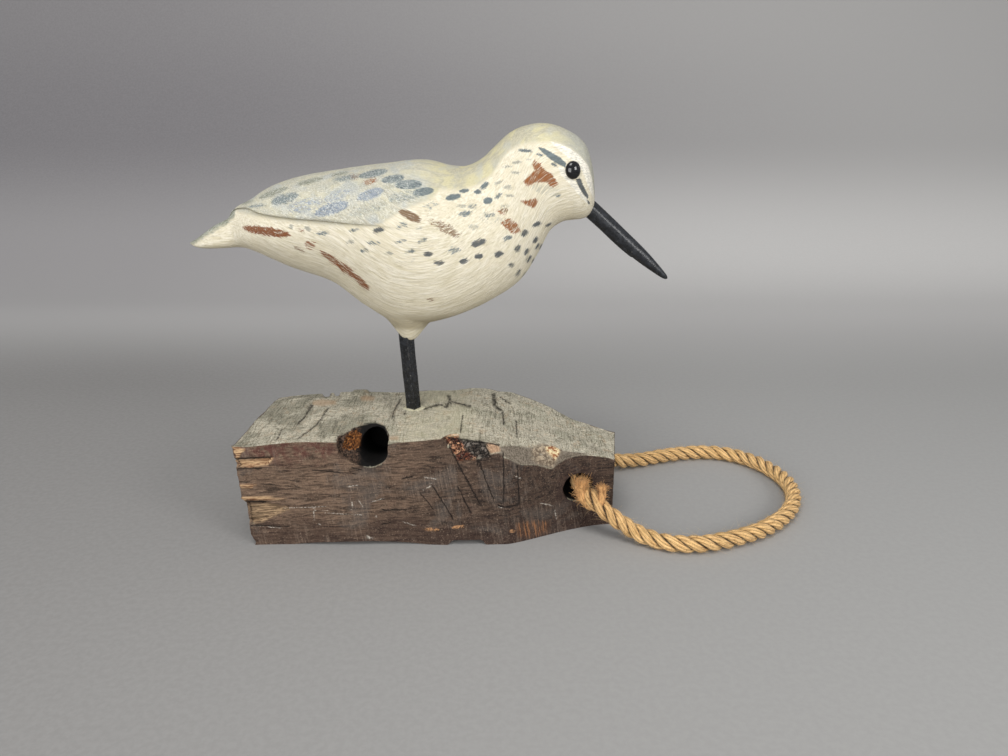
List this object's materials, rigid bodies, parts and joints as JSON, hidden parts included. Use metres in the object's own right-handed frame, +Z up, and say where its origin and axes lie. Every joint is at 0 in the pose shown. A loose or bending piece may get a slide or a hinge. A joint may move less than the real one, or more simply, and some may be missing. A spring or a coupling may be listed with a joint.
{
  "type": "shorebird decoy",
  "caption": "Carved and painted wooden shorebird with a long dropped bill, on one square leg set in a piece of old timber with a rope loop.",
  "frame": {"origin": "centre of the timber's flat underside, on the surface that it stands on", "axes": "+X the way the bill points, +Y away from the viewer of the bird's right side, +Z up"},
  "size_m": [0.3583, 0.1327, 0.2226],
  "materials": {
    "weathered_timber": "weathered grey-green on top, dark brown and saw-marked on the sides, pale where it has split",
    "painted_wood": "cream paint, finely brushed, with grey-green back, blue-grey spots and rust marks",
    "black_paint": "satin black paint, worn brown along the edges",
    "eye_bead": "gloss black",
    "filler": "pale, dusty, matt",
    "rope_fibre": "golden tan natural fibre, three strands"
  },
  "bodies": {
    "root": {"block": "weathered_timber", "foot_putty": "filler", "leg": "black_paint", "body": "painted_wood", "bill": "black_paint", "eye_right": "eye_bead", "eye_left": "eye_bead", "rope": "rope_fibre"}
  },
  "joints": []
}
